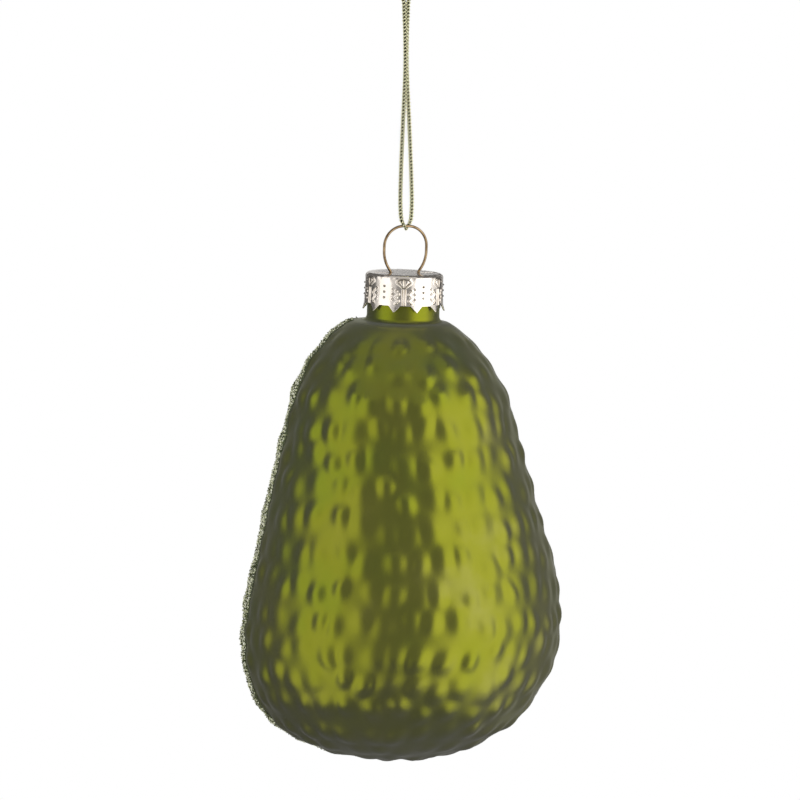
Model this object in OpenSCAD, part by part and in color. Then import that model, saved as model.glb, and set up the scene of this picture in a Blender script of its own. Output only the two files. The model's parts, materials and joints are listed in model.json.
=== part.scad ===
// A blown-glass ornament in the form of half an avocado, hanging by a cord loop.
// The origin is in the eye of the cord, under the knot, where a hook or twig carries the ornament.
// The skin side faces -Y and the cut face +Y. The half fruit hangs a little aslant, because its weight
// lies behind its neck.

/* [Hanging] */
// Drop from the hanging point to the crown of the wire ring
hang_drop = 64; // [60:0.5:70]
// Slant of the hanging fruit, with its foot swung towards the cut face, in degrees
hang_tilt = 5.2; // [0:0.1:8]

/* [Fruit] */
// Height of the fruit from its lowest point to the foot of the neck
body_h = 104.5; // [95:0.5:120]
// Half width of the belly
belly_r = 38.2; // [34:0.1:44]
// Height of the widest place above the lowest point
belly_h = 33; // [28:0.5:38]
// Fullness of the underside, where 2 is an ellipse
base_power = 2.25; // [2:0.05:2.8]
// Half width where the flank turns into the shoulder
shoulder_r = 26.5; // [23:0.1:30]
// Drop from the foot of the neck to the start of the shoulder
shoulder_drop = 20; // [16:0.5:24]
// Width of the flat crown left round the foot of the neck
crown_rim = 0.5; // [0.2:0.1:1.5]
// Lean of the flank at the shoulder, from the upright, in degrees
flank_lean = 12; // [8:0.5:16]
// Sideways lean of the fruit under its neck, in degrees
fruit_lean = 1.5; // [0:0.1:3]
// Thickness of the blown glass
glass_wall = 1; // [0.8:0.05:1.4]

/* [Cut face and pit] */
// Distance of the cut face in front of the neck's wall
face_out = 0.15; // [0:0.05:2]
// Radius of the pit's ball
pit_r = 16; // [12:0.5:18]
// How far the pit stands out of the cut face
pit_out = 9; // [6:0.5:11]
// Height of the pit's centre above the lowest point
pit_h = 35; // [30:0.5:42]

/* [Neck] */
// Outer diameter of the neck
neck_d = 17.3; // [15:0.1:20]
// Height of the neck from its foot to its mouth
neck_h = 11.1; // [10:0.1:14]
// Radius of the fillet at the foot of the neck
neck_fillet = 1.4; // [1.2:0.1:2]
// Depth of the fillet's foot below the crown of the fruit
foot_sink = 0.5; // [0.4:0.05:0.7]

/* [Glitter rim] */
// Thickness of the glued glitter
glitter_t = 0.4; // [0.2:0.05:0.8]
// Width of the glitter on the skin, back from the cut face
glitter_side = 5; // [2:0.1:7]
// Width of the glitter on the cut face
glitter_front = 2.4; // [1:0.1:5]
// Bare glass left between the neck and the ends of the glitter
glitter_gap = 2.2; // [1:0.1:4]

/* [Cap] */
// Gap between the neck and the cap's skirt
cap_clear = 0.3; // [0.2:0.05:0.5]
// Gap between the neck's mouth and the cap's top
seat_gap = 0.1; // [0.05:0.05:0.3]
// Thickness of the stamped metal
cap_wall = 0.35; // [0.25:0.05:0.5]
// Height of the skirt from the cap's top to the roots of the teeth
skirt_h = 7.1; // [6:0.1:9]
// Radius of the cap's top edge
cap_edge_r = 0.9; // [0.6:0.1:1.2]
// Number of teeth round the skirt
teeth = 11; // [8:1:16]
// Length of a tooth
tooth_h = 1.65; // [1:0.05:2.5]
// Width of a tooth at its root
tooth_w = 2.6; // [1.8:0.1:3]
// Gap round the wire in the cap's slots
slot_clear = 0.3; // [0.2:0.05:0.5]

/* [Hanger wire] */
// Diameter of the wire
wire_d = 0.65; // [0.5:0.05:0.8]
// Half width of the ring, at the middle of the wire
ring_r = 5.4; // [4.8:0.1:6]
// Length of the straight crown that the cord rests on
crown_l = 1.2; // [0.8:0.1:2]
// Length of the ring's straight sides
ring_side = 1.1; // [0.5:0.1:2]
// Radius of the flanks that draw the ring in above the cap
flank_r = 7.5; // [6.5:0.1:9]
// Angle that the flanks turn through, in degrees
flank_turn = 38; // [30:1:42]
// Radius of the bend that turns each flank out into its leg
bend_r = 1.2; // [0.8:0.1:1.8]
// Length of a spring leg
leg_l = 17; // [12:0.5:22]
// Gap between a leg's tip and the neck's bore
leg_clear = 0.3; // [0.2:0.05:0.5]
// Swelling of the wire where two bends meet
bend_swell = 0.02; // [0.01:0.01:0.05]

/* [Cord] */
// Diameter of the cord
cord_d = 1.1; // [0.8:0.1:1.3]
// Diameter of the knot
knot_d = 3.8; // [3.4:0.1:5]
// Height of the knot
knot_h = 3.6; // [3:0.1:5]
// Length of a tail above the knot
tail_l = 5; // [3:0.5:8]
// Slant of the tails, in degrees
tail_slant = 24; // [15:1:35]

/* [Hidden] */
$fn = 64;

// Heights, measured along the ornament's own axis from the crown of the ring
wire_r = wire_d / 2;
arc_r = ring_r - crown_l / 2;
flank_z = -arc_r - ring_side;
bend_z = flank_z - (flank_r + bend_r) * sin(flank_turn);
cap_top_z = bend_z + cap_wall / 2;
mouth_z = cap_top_z - cap_wall - seat_gap;
foot_z = mouth_z - neck_h;
low_z = foot_z - body_h;
mid_z = low_z + body_h / 2;

// Fits between neck, cut face, cap and wire
neck_r = neck_d / 2;
bore_r = neck_r - glass_wall;
foot_r = neck_r + neck_fillet;
crown_r = foot_r + crown_rim;
face_y = neck_r + face_out;
cap_in_r = neck_r + cap_clear;
cap_out_r = cap_in_r + cap_wall;
// Centre of the bend that turns the flank out, and the wire's narrowest place beside it
turn_x = ring_r - flank_r + (flank_r + bend_r) * cos(flank_turn);
waist_x = turn_x - bend_r;
// The leg leans out until its tip lies beside the neck's bore
tip_x = bore_r - wire_r - leg_clear;
leg_lean = asin((tip_x - turn_x) / norm([leg_l, bend_r])) + atan(bend_r / leg_l);
slot_w = wire_d + 2 * slot_clear;
slot_in = waist_x - wire_r - slot_clear;
slot_out = tip_x + wire_r + slot_clear;

// Cord route: down one strand from the knot, round under the ring's crown and up the other strand.
// The eye and the strands are placed from the hanging point, the bight from the crown of the ring.
CORD_SIDES = 8;
STEPS_PER_SPAN = 2;
strand = [
    [-0.65, 0, 0], [-0.7, 0, -0.8], [-1.6, 0, -2.4], [-2.3, 0, -4], [-2.5, 0, -5.5], [-2.2, 0, -7.2],
    [-1.4, 0, -9], [-0.8, -0.1, -11], [-0.6, -0.3, -14], [-0.4, -0.55, -19], [-0.3, -0.65, -26],
    [-0.4, -0.7, -33], [-0.8, -0.8, -40], [-1.3, -1.1, -47], [-1.75, -1.4, -54]
];
bight = [[-1.85, -1.5, 5], [-1.75, -1.5, 1.2], [-1.5, -1.3, 0.05], [-0.87, -0.75, -0.8]];
bight_low = [0, 0, -1.1];
ring_crown = [0, 0, -hang_drop];
half_route = concat(strand, [for (p = bight) p + ring_crown]);
cord_route = concat(
    half_route,
    [ring_crown + bight_low],
    [for (i = [len(half_route) - 1 : -1 : 0]) [-half_route[i].x, -half_route[i].y, half_route[i].z]]
);

// Points on a cubic curve from its four control points
function curve(p, n) = [
    for (i = [0 : n])
        let (t = i / n, s = 1 - t)
        s ^ 3 * p[0] + 3 * s ^ 2 * t * p[1] + 3 * s * t ^ 2 * p[2] + t ^ 3 * p[3]
];

// Outline of the whole fruit: the underside, the flank and the shoulder, up to the flat crown.
// Each pull is the length of a curve's handle where two of them meet.
BASE_STEPS = 14;
FLANK_STEPS = 12;
SHOULDER_STEPS = 12;
flank_pull = 12.5;
shoulder_pull = 9;
crown_pull = 4;
shoulder_h = body_h - shoulder_drop;
lean_run = tan(flank_lean);
base_line = [
    for (i = [0 : BASE_STEPS])
        let (a = 90 * i / BASE_STEPS)
        [belly_r * sin(a) ^ (2 / base_power), belly_h - belly_h * cos(a) ^ (2 / base_power)]
];
flank_line = curve([
    [belly_r, belly_h], [belly_r, belly_h + flank_pull],
    [shoulder_r + lean_run * flank_pull, shoulder_h - flank_pull], [shoulder_r, shoulder_h]
], FLANK_STEPS);
shoulder_line = curve([
    [shoulder_r, shoulder_h], [shoulder_r - lean_run * shoulder_pull, shoulder_h + shoulder_pull],
    [crown_r + crown_pull, body_h], [crown_r, body_h]
], SHOULDER_STEPS);
function tail(list) = [for (i = [1 : len(list) - 1]) list[i]];
fruit_line = concat(base_line, tail(flank_line), tail(shoulder_line), [[0, body_h]]);

// The outline moved outwards by d along its normals; its ends stay on the axis
function moved(line, d) = [
    for (i = [0 : len(line) - 1])
        i == 0 ? line[0] - [0, d]
        : i == len(line) - 1 ? line[i] + [0, d]
        : let (along = line[i + 1] - line[i - 1])
          line[i] + d * [along.y, -along.x] / norm(along)
];

// Points along the cord, each span rounded by its neighbours
function spline(p, i, t) =
    let (last = len(p) - 1, a = p[max(i - 1, 0)], b = p[i], c = p[i + 1], d = p[min(i + 2, last)])
    b + t * ((c - a) / 2 + t * (a - 2.5 * b + 2 * c - d / 2 + t * (1.5 * (b - c) + (d - a) / 2)));
cord_points = [
    for (i = [0 : len(cord_route) - 2])
        for (k = [0 : STEPS_PER_SPAN - 1])
            spline(cord_route, i, k / STEPS_PER_SPAN),
    cord_route[len(cord_route) - 1]
];
function unit(v) = v / norm(v);
// Directions along the cord; both ends stand square to the knot's flat underside
function cord_way(i) =
    i == 0 ? [0, 0, -1]
    : i == len(cord_points) - 1 ? [0, 0, 1]
    : unit(cord_points[i + 1] - cord_points[i - 1]);

// Turns the hanging ornament about the crown of its ring, where the cord carries it
module hung() {
    translate([0, 0, -hang_drop])
        rotate([hang_tilt, 0, 0])
            children();
}

// Leans the fruit sideways about its middle
module leaned() {
    translate([0, 0, mid_z])
        rotate([0, -fruit_lean, 0])
            translate([0, 0, low_z - mid_z])
                children();
}

// A turned fruit with the given outline
module turned(line) {
    leaned() rotate_extrude() polygon(line);
}

// Cuts its children flat at y = front
module cut_front(front) {
    reach = 2 * belly_r;
    difference() {
        children();
        translate([-reach, front, low_z - reach]) cube([2 * reach, reach, body_h + 2 * reach]);
    }
}

// The pit's ball, made smaller by the given wall
module pit_ball(wall) {
    leaned() translate([0, face_y + pit_out - pit_r, pit_h]) sphere(r = pit_r - wall);
}

// The neck with its filleted foot, sunk into the crown of the fruit
module neck_tube() {
    root_z = foot_z - foot_sink - glass_wall;
    fillet_steps = 8;
    fillet = [
        for (i = [0 : fillet_steps])
            let (a = 90 * i / fillet_steps)
            [foot_r - neck_fillet * sin(a), foot_z - foot_sink + neck_fillet - neck_fillet * cos(a)]
    ];
    rotate_extrude()
        polygon(concat(
            [[0, root_z], [foot_r, root_z]], fillet, [[neck_r, mouth_z], [0, mouth_z]]
        ));
}

// One blown shell: skin side, cut face, pit and open neck
module glass_body() {
    color([0.45, 0.5, 0.1])
        hung()
            difference() {
                union() {
                    cut_front(face_y) {
                        turned(fruit_line);
                        neck_tube();
                    }
                    pit_ball(0);
                }
                cut_front(face_y - glass_wall) turned(moved(fruit_line, -glass_wall));
                pit_ball(glass_wall);
                translate([0, 0, foot_z - 4 * glass_wall]) cylinder(r = bore_r, h = neck_h + 5 * glass_wall);
            }
}

// The glitter glued over the edge of the cut face, open at the neck
module glitter_rim() {
    reach = 2 * belly_r;
    color([0.55, 0.65, 0.4])
        hung()
            difference() {
                cut_front(face_y + glitter_t) turned(moved(fruit_line, glitter_t));
                translate([-reach, face_y - glitter_side - reach, low_z - reach])
                    cube([2 * reach, reach, body_h + 2 * reach]);
                cut_front(face_y) turned(fruit_line);
                turned(moved(fruit_line, -glitter_front));
                translate([0, 0, foot_z - shoulder_drop])
                    cylinder(r = foot_r + glitter_gap, h = shoulder_drop + neck_h);
            }
}

// The stamped cap: a round-edged cup with a crown of teeth and two slots for the wire
module cap() {
    edge_steps = 8;
    in_edge_r = cap_edge_r - cap_wall;
    root_z = cap_top_z - skirt_h;
    tip_z = root_z - tooth_h;
    pitch = 2 * PI * cap_out_r / teeth;
    outside = [
        for (i = [0 : edge_steps])
            let (a = 90 * i / edge_steps)
            [cap_out_r - cap_edge_r + cap_edge_r * cos(a), cap_top_z - cap_edge_r + cap_edge_r * sin(a)]
    ];
    inside = [
        for (i = [edge_steps : -1 : 0])
            let (a = 90 * i / edge_steps)
            [cap_in_r - in_edge_r + in_edge_r * cos(a), cap_top_z - cap_edge_r + in_edge_r * sin(a)]
    ];
    color([0.82, 0.78, 0.7])
        hung()
            difference() {
                rotate_extrude()
                    polygon(concat(
                        [[cap_in_r, tip_z], [cap_out_r, tip_z]], outside,
                        [[0, cap_top_z], [0, cap_top_z - cap_wall]], inside
                    ));
                for (i = [0 : teeth - 1])
                    rotate([0, 0, (i + 0.5) * 360 / teeth])
                        translate([cap_out_r, 0, 0])
                            rotate([90, 0, -90])
                                translate([0, 0, -cap_wall])
                                    linear_extrude(height = 4 * cap_wall)
                                        polygon([
                                            [-(pitch - tooth_w) / 2, root_z], [(pitch - tooth_w) / 2, root_z],
                                            [pitch / 2, tip_z], [pitch / 2, tip_z - tooth_h],
                                            [-pitch / 2, tip_z - tooth_h], [-pitch / 2, tip_z]
                                        ]);
                for (side = [0, 180])
                    rotate([0, 0, side])
                        translate([slot_in, -slot_w / 2, cap_top_z - 2 * cap_wall])
                            cube([slot_out - slot_in, slot_w, 3 * cap_wall]);
            }
}

// An arc of wire in the XZ plane, from angle a over the turn given
module wire_arc(r, a, turn) {
    rotate([90, 0, 0])
        rotate([0, 0, a])
            rotate_extrude(angle = turn)
                translate([r, 0]) circle(d = wire_d);
}

// The meeting place of two bends, at x and z in the ring's plane
module wire_joint(x, z) {
    translate([x, 0, z]) sphere(d = wire_d + bend_swell);
}

// Half of the hanger: top arc, side, drawn-in flank, bend and spring leg
module wire_half() {
    translate([crown_l / 2, 0, -arc_r]) wire_arc(arc_r, 0, 90);
    translate([ring_r, 0, flank_z]) cylinder(d = wire_d, h = ring_side);
    translate([ring_r - flank_r, 0, flank_z]) wire_arc(flank_r, -flank_turn, flank_turn);
    translate([turn_x, 0, bend_z]) wire_arc(bend_r, 180 - flank_turn, flank_turn + leg_lean);
    translate([turn_x, 0, bend_z])
        rotate([0, -leg_lean, 0])
            translate([-bend_r, 0, -leg_l]) cylinder(d = wire_d, h = leg_l);
    wire_joint(ring_r, -arc_r);
    wire_joint(ring_r, flank_z);
    wire_joint(turn_x - bend_r * cos(flank_turn), bend_z + bend_r * sin(flank_turn));
    wire_joint(turn_x - bend_r * cos(leg_lean), bend_z - bend_r * sin(leg_lean));
}

// One bent wire: the ring above the cap and two spring legs inside the neck
module hanger_wire() {
    color([0.75, 0.62, 0.35])
        hung() {
            rotate([0, 90, 0]) cylinder(d = wire_d, h = crown_l, center = true);
            wire_half();
            mirror([1, 0, 0]) wire_half();
        }
}

// The cord: one tube from the knot, round under the ring's crown and back to the knot
module cord_loop() {
    rings = len(cord_points);
    across = [0.6, -0.8, 0];
    ring_points = [
        for (i = [0 : rings - 1])
            let (way = cord_way(i), u = unit(across - (across * way) * way), v = cross(way, u))
            for (k = [0 : CORD_SIDES - 1])
                let (a = 360 * k / CORD_SIDES)
                cord_points[i] + cord_d / 2 * (cos(a) * u + sin(a) * v)
    ];
    sides = [
        for (i = [0 : rings - 2])
            for (k = [0 : CORD_SIDES - 1])
                let (n = (k + 1) % CORD_SIDES, p = i * CORD_SIDES, q = p + CORD_SIDES)
                each [[p + k, q + k, q + n], [p + k, q + n, p + n]]
    ];
    last = (rings - 1) * CORD_SIDES;
    ends = [
        [for (k = [0 : CORD_SIDES - 1]) k],
        [for (k = [CORD_SIDES - 1 : -1 : 0]) last + k]
    ];
    color([0.8, 0.75, 0.5]) polyhedron(ring_points, concat(sides, ends));
}

// The knot over the eye, flat underneath, with its two cut tails
module cord_knot() {
    edge = knot_h / 3;
    knot_r = knot_d / 2;
    color([0.8, 0.75, 0.5]) {
        rotate_extrude()
            polygon([
                [0, 0], [knot_r - edge / 2, 0], [knot_r, edge], [knot_r, knot_h - edge],
                [knot_r - edge / 2, knot_h], [0, knot_h]
            ]);
        for (side = [-1, 1])
            translate([side * cord_d / 2, 0, knot_h / 2])
                rotate([0, side * tail_slant, 0])
                    cylinder(d = cord_d, h = knot_h / 2 + tail_l);
    }
}

glass_body();
glitter_rim();
cap();
hanger_wire();
cord_loop();
cord_knot();
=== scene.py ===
import json
import math
import random

import bmesh
import bpy
from mathutils import Matrix, Vector, noise


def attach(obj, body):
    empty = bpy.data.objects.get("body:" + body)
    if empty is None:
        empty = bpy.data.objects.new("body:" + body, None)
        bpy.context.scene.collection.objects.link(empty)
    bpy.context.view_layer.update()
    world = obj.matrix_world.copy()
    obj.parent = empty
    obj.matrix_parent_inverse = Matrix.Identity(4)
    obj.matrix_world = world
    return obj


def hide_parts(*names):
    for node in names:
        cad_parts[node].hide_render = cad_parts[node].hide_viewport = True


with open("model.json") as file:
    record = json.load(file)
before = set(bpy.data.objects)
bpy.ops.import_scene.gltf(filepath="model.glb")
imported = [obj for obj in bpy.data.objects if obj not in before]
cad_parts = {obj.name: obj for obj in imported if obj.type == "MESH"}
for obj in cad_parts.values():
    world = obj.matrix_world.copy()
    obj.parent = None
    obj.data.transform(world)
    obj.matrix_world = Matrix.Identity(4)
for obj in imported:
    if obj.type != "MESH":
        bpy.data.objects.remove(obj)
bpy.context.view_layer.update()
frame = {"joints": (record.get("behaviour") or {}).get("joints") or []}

# The ornament's own frame: millimetres from the crown of the wire ring, with Z up along the neck.
# The skin side faces -Y and the cut face +Y.
MM = 0.001
joints = {joint["name"]: joint for joint in frame["joints"]}
ring_crown = Vector(joints["ring_swing"]["pos_m"])
cap_top = Vector(joints["cap_spin"]["pos_m"])
neck_axis = Vector(joints["cap_spin"]["axis"])
hang_tilt = math.atan2(-neck_axis.y, neck_axis.z)
HUNG = Matrix.Translation(ring_crown) @ Matrix.Rotation(hang_tilt, 4, "X") @ Matrix.Scale(MM, 4)
cap_top_z = -(cap_top - ring_crown).length / MM

# Sizes that the solids are built from, in millimetres
BODY_H, BELLY_R, BELLY_H, BASE_POWER = 104.5, 38.2, 33.0, 2.25
SHOULDER_R, SHOULDER_DROP, FLANK_LEAN, FRUIT_LEAN = 26.5, 20.0, 12.0, 1.5
FLANK_PULL, SHOULDER_PULL, CROWN_PULL, CROWN_RIM = 12.5, 9.0, 4.0, 0.5
GLASS_WALL, NECK_R, NECK_H, NECK_FILLET, FACE_OUT = 1.0, 8.65, 11.1, 1.4, 0.15
PIT_R, PIT_OUT, PIT_H = 16.0, 9.0, 35.0
GLITTER_T, GLITTER_SIDE, GLITTER_FRONT, GLITTER_GAP = 0.4, 5.0, 2.4, 2.2
CAP_CLEAR, CAP_WALL, SEAT_GAP, SKIRT_H, CAP_EDGE_R = 0.3, 0.35, 0.1, 7.1, 0.9
TEETH, TOOTH_H, SLOT_CLEAR = 11, 1.65, 0.3
WIRE_D, RING_R, CROWN_L, RING_SIDE = 0.65, 5.4, 1.2, 1.1
FLANK_R, FLANK_TURN, BEND_R, LEG_L, LEG_CLEAR = 7.5, 38.0, 1.2, 17.0, 0.3
mouth_z = cap_top_z - CAP_WALL - SEAT_GAP
foot_z = mouth_z - NECK_H
low_z = foot_z - BODY_H
face_y = NECK_R + FACE_OUT
foot_r = NECK_R + NECK_FILLET

# Cord route in metres: one strand from the hanging point, and the bight from the ring's crown.
# The strands lie as close together as the photograph shows them.
CORD_D = 0.0011
STRAND = [
    (-0.00065, 0, 0), (-0.0007, 0, -0.0008), (-0.0016, 0, -0.0024), (-0.0023, 0, -0.004),
    (-0.0025, 0, -0.0055), (-0.0021, 0, -0.0071), (-0.00125, -0.0001, -0.0087),
    (-0.0007, -0.0003, -0.0105), (-0.00058, -0.00045, -0.014), (-0.00045, -0.0006, -0.019),
    (-0.00044, -0.00065, -0.026), (-0.00074, -0.0007, -0.033), (-0.00114, -0.0008, -0.04),
    (-0.00158, -0.0011, -0.047), (-0.00196, -0.0014, -0.054),
]
BIGHT = [
    (-0.00206, -0.0015, 0.005), (-0.00175, -0.0014, 0.0016), (-0.0009, -0.00095, 0.0002),
    (-0.0004, -0.0006, -0.0005),
]
BIGHT_LOW = (0, 0, -0.00078)

# The photograph's view: direction, scale, and where the middle of the cap's top lies in the picture
VIEW_AZIMUTH, VIEW_ELEVATION, VIEW_DISTANCE = -22.0, 1.5, 2.2
PICTURE, PIXELS_PER_MM = 800, 4.2
CAP_TOP_PIXEL = (404.5, 272.4)


def smoothstep(low, high, value):
    """A smooth rise from 0 at low to 1 at high, or a fall where low is the larger of the two."""
    t = min(max((value - low) / (high - low), 0.0), 1.0)
    return t * t * (3 - 2 * t)


def spline(points, steps):
    """Points on a smooth curve through the given ones, each span rounded by its neighbours."""
    last = len(points) - 1
    line = []
    for i in range(last):
        a, b, c, d = (Vector(points[min(max(k, 0), last)]) for k in range(i - 1, i + 3))
        for k in range(steps):
            t = k / steps
            line.append(b + t * ((c - a) / 2 + t * (a - 2.5 * b + 2 * c - d / 2
                                                    + t * (1.5 * (b - c) + (d - a) / 2))))
    line.append(Vector(points[last]))
    return line


def bezier(controls, steps):
    a, b, c, d = (Vector(p) for p in controls)
    curve = []
    for i in range(steps + 1):
        t = i / steps
        curve.append((1 - t) ** 3 * a + 3 * (1 - t) ** 2 * t * b + 3 * (1 - t) * t * t * c + t ** 3 * d)
    return curve


def length_of(line):
    return sum((b - a).length for a, b in zip(line, line[1:]))


def evenly(line, step):
    """The same line with points a step apart."""
    lengths = [0.0]
    for a, b in zip(line, line[1:]):
        lengths.append(lengths[-1] + (b - a).length)
    count = max(2, round(lengths[-1] / step))
    spaced, k = [], 0
    for i in range(count + 1):
        want = lengths[-1] * i / count
        while k < len(line) - 2 and lengths[k + 1] < want:
            k += 1
        span = lengths[k + 1] - lengths[k]
        spaced.append(line[k].lerp(line[k + 1], (want - lengths[k]) / span))
    return spaced


class Socket:
    """An output in a node tree. Sums, differences and products of outputs add Math nodes."""

    def __init__(self, tree, output):
        self.tree = tree
        self.output = output

    def node(self, kind, settings=None, inputs=None, out=0):
        """A new node with its settings made first, then its inputs set or linked."""
        made = self.tree.nodes.new(kind)
        for name, value in (settings or {}).items():
            if name == "stops":
                fill_ramp(made.color_ramp, value)
            else:
                setattr(made, name, value)
        for name, value in (inputs or {}).items():
            if isinstance(value, Socket):
                self.tree.links.new(value.output, made.inputs[name])
            else:
                made.inputs[name].default_value = value
        return Socket(self.tree, made.outputs[out])

    def math(self, operation, *values):
        return self.node("ShaderNodeMath", {"operation": operation}, dict(enumerate(values)))

    def __add__(self, other):
        return self.math("ADD", self, other)

    def __sub__(self, other):
        return self.math("SUBTRACT", self, other)

    def __rsub__(self, other):
        return self.math("SUBTRACT", other, self)

    def __mul__(self, other):
        return self.math("MULTIPLY", self, other)

    __radd__ = __add__
    __rmul__ = __mul__

    def ramp(self, *stops):
        return self.node("ShaderNodeValToRGB", {"stops": stops}, {"Fac": self})

    def bump(self, strength, distance):
        return self.node("ShaderNodeBump", {}, {"Strength": strength, "Distance": distance, "Height": self})


def fill_ramp(ramp, stops):
    while len(ramp.elements) < len(stops):
        ramp.elements.new(1.0)
    for element, (position, colour) in zip(ramp.elements, stops):
        element.position = position
        element.color = (*colour, 1.0)


def finish_material(name, constants, varying):
    """A Principled material. The varying inputs are made by a function of the object's coordinates."""
    material = bpy.data.materials.new(name)
    material.use_nodes = True
    tree = material.node_tree
    shader = tree.nodes["Principled BSDF"]
    for socket, value in constants.items():
        shader.inputs[socket].default_value = value
    place = Socket(tree, tree.nodes.new("ShaderNodeTexCoord").outputs["Object"])
    for socket, value in varying(place).items():
        tree.links.new(value.output, shader.inputs[socket])
    return material


def noise_at(place, size_mm, detail=2.0, stretch=None):
    """Noise with features of about the given size, from 0 to 1."""
    scale = 1 / (size_mm * MM)
    if stretch:
        place = place.node("ShaderNodeMapping", {}, {"Vector": place, "Scale": stretch})
    return place.node("ShaderNodeTexNoise", {}, {"Vector": place, "Scale": scale, "Detail": detail})


def attribute_at(place, name):
    """The value of a mesh's own attribute, from 0 to 1."""
    return place.node("ShaderNodeAttribute", {"attribute_name": name}, out="Fac")


# Distances in millimetres: within the first, the seam and the poles of a turned surface are merged, and
# within the second, a point lies on a cut
SEAM, ON_CUT = 0.0005, 1e-5


def lathe(bm, profile, steps):
    """A grid rolled up about Z to a line of radii and heights, with an open seam; gives each vertex's row."""
    rows = len(profile) - 1
    grid = bmesh.ops.create_grid(bm, x_segments=steps, y_segments=rows, size=0.5)["verts"]
    order = {}
    for v in grid:
        row = round((v.co.y + 0.5) * rows)
        turn = 2 * math.pi * (v.co.x + 0.5)
        radius, height = profile[row]
        v.co = (radius * math.cos(turn), radius * math.sin(turn), height)
        order[v] = row
    return order


def tubes(name, lines, thickness, sides, widths=None):
    """A mesh of round tubes with capped ends, each along its line; widths are shares of the thickness."""
    data = bpy.data.curves.new(name, "CURVE")
    data.dimensions = "3D"
    data.bevel_depth = thickness / 2
    data.bevel_resolution = sides // 2 - 2
    data.use_fill_caps = True
    for i, line in enumerate(lines):
        tube = data.splines.new("POLY")
        tube.points.add(len(line) - 1)
        tube.points.foreach_set("co", [c for p in line for c in (*p, 1.0)])
        if widths:
            tube.points.foreach_set("radius", widths[i])
    holder = bpy.data.objects.new(name, data)
    mesh = bpy.data.meshes.new_from_object(holder)
    bpy.data.objects.remove(holder)
    bpy.data.curves.remove(data)
    return mesh


def settle_order(bm):
    """Sorts edges and faces by their vertices, because some operators make them in a new order each run."""
    bm.verts.index_update()
    count = len(bm.verts)

    def rank(element):
        total = 0
        for index in sorted(v.index for v in element.verts)[:3]:
            total = total * count + index
        return total

    bm.edges.sort(key=rank)
    bm.faces.sort(key=rank)


def as_mesh(name, bm):
    mesh = bpy.data.meshes.new(name)
    bm.to_mesh(mesh)
    bm.free()
    return mesh


def add_piece(name, mesh, body, materials, replaced=(), smooth=True, place=HUNG):
    """A finished piece, placed from the ornament's own frame and riding on a body."""
    mesh.transform(place)
    mesh.polygons.foreach_set("use_smooth", [smooth] * len(mesh.polygons))
    for material in materials:
        mesh.materials.append(material)
    piece = bpy.data.objects.new(name, mesh)
    bpy.context.scene.collection.objects.link(piece)
    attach(piece, body)
    if replaced:
        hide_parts(*replaced)
    return piece


# Camera
def make_camera():
    """The photograph's view. Gives the point in its middle and the ways back to the camera and right."""
    a, e = math.radians(VIEW_AZIMUTH), math.radians(VIEW_ELEVATION)
    back = Vector((math.sin(a) * math.cos(e), -math.cos(a) * math.cos(e), math.sin(e)))
    right = Vector((math.cos(a), math.sin(a), 0))
    up = back.cross(right)
    off_x, off_y = ((p - PICTURE / 2) / PIXELS_PER_MM * MM for p in CAP_TOP_PIXEL)
    middle = cap_top - off_x * right + off_y * up
    data = bpy.data.cameras.new("photo_view")
    data.sensor_width = 36.0
    data.lens = data.sensor_width * VIEW_DISTANCE / (PICTURE / PIXELS_PER_MM * MM)
    data.clip_end = 20.0
    camera = bpy.data.objects.new("photo_view", data)
    camera.location = middle + back * VIEW_DISTANCE
    camera.rotation_euler = (-back).to_track_quat("-Z", "Y").to_euler()
    bpy.context.scene.collection.objects.link(camera)
    bpy.context.scene.camera = camera
    return middle, back, right


middle, back, right = make_camera()


# Cord: yarns braided round a core, over one and under one
YARNS_EACH_WAY = 2
BRAID_LAY = 1.64 * MM
BRAID_R = 0.38 * MM
YARN_LIFT = 0.15 * MM
YARN_D = 0.23 * MM
CORE_D = 0.89 * MM
YARN_SIDES = 6
# Points lie a step apart along the yarns, and the core keeps one in a few of them
BRAID_STEP = 0.1 * MM
CORE_SKIP = 3
# Points on each span of a route
SPAN_STEPS = 12
# The side of the cord on which the braid starts
BRAID_START = Vector((-0.53, -0.85, 0))
# The share of its width that the cord keeps where it is drawn tight round the ring, and how far from the
# middle of the bight it starts to widen and is whole again, in cord widths
TIGHT = 0.6
TIGHT_FROM, TIGHT_TO = 0.5, 3.5
# How far the cord rolls over as it goes round the ring, and over how many cord widths to each side
ROLL = math.radians(45)
ROLL_REACH = 3
# The knot: its two tails, and two turns of cord wrapped round them
KNOT_H = 3.6 * MM
TAIL_L = 5.0 * MM
TAIL_OUT = 0.6 * CORD_D
TAIL_SLANT = 24.0
# Each wrap is an oval that is turned by an angle in radians, climbs and waves a little, and has its ends
# tucked in
WRAP_TURNS, WRAP_STEPS, WRAP_START = 1.2, 72, 1.2
WRAP_LONG, WRAP_SHORT = 1.62 * MM, 1.12 * MM
WRAP_CLIMB, WRAP_WAVE = 1.1 * MM, 0.5 * MM
TUCK_SHARE, TUCKED = 0.12, 0.3


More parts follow.
